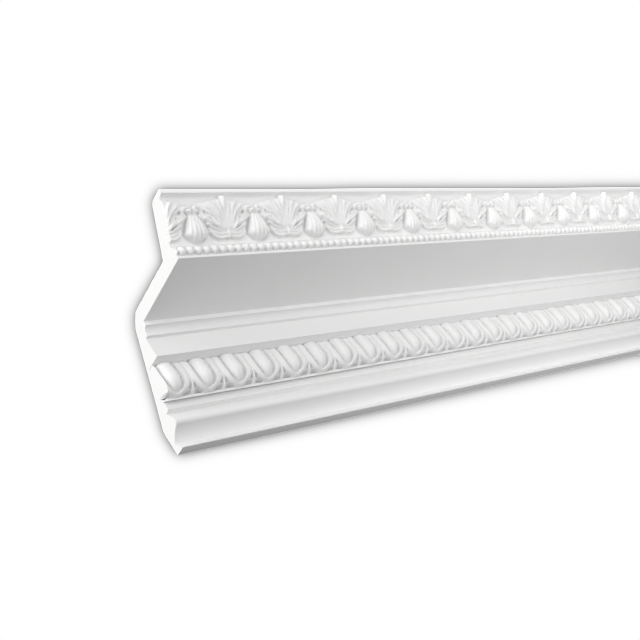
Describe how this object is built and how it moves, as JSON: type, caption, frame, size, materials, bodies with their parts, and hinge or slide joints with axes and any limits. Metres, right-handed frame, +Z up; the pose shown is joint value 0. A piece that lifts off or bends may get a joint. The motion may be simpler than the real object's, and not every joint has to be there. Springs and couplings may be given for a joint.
{
  "type": "cornice moulding length",
  "caption": "Straight cornice length with a leaning palmette frieze, bead row, wide soffit, egg-and-dart band and ogee foot, cut square at both ends.",
  "frame": {"origin": "middle of the strip that is fixed to the wall, halfway along the length", "axes": "+X along the moulding, +Y into the wall, +Z up the wall; the front faces -Y and the ceiling strip faces +Z"},
  "size_m": [1, 0.1731, 0.18],
  "materials": {
    "white_primer": "matte white primed rigid foam"
  },
  "bodies": {
    "root": {"cornice": "white_primer"}
  },
  "joints": []
}
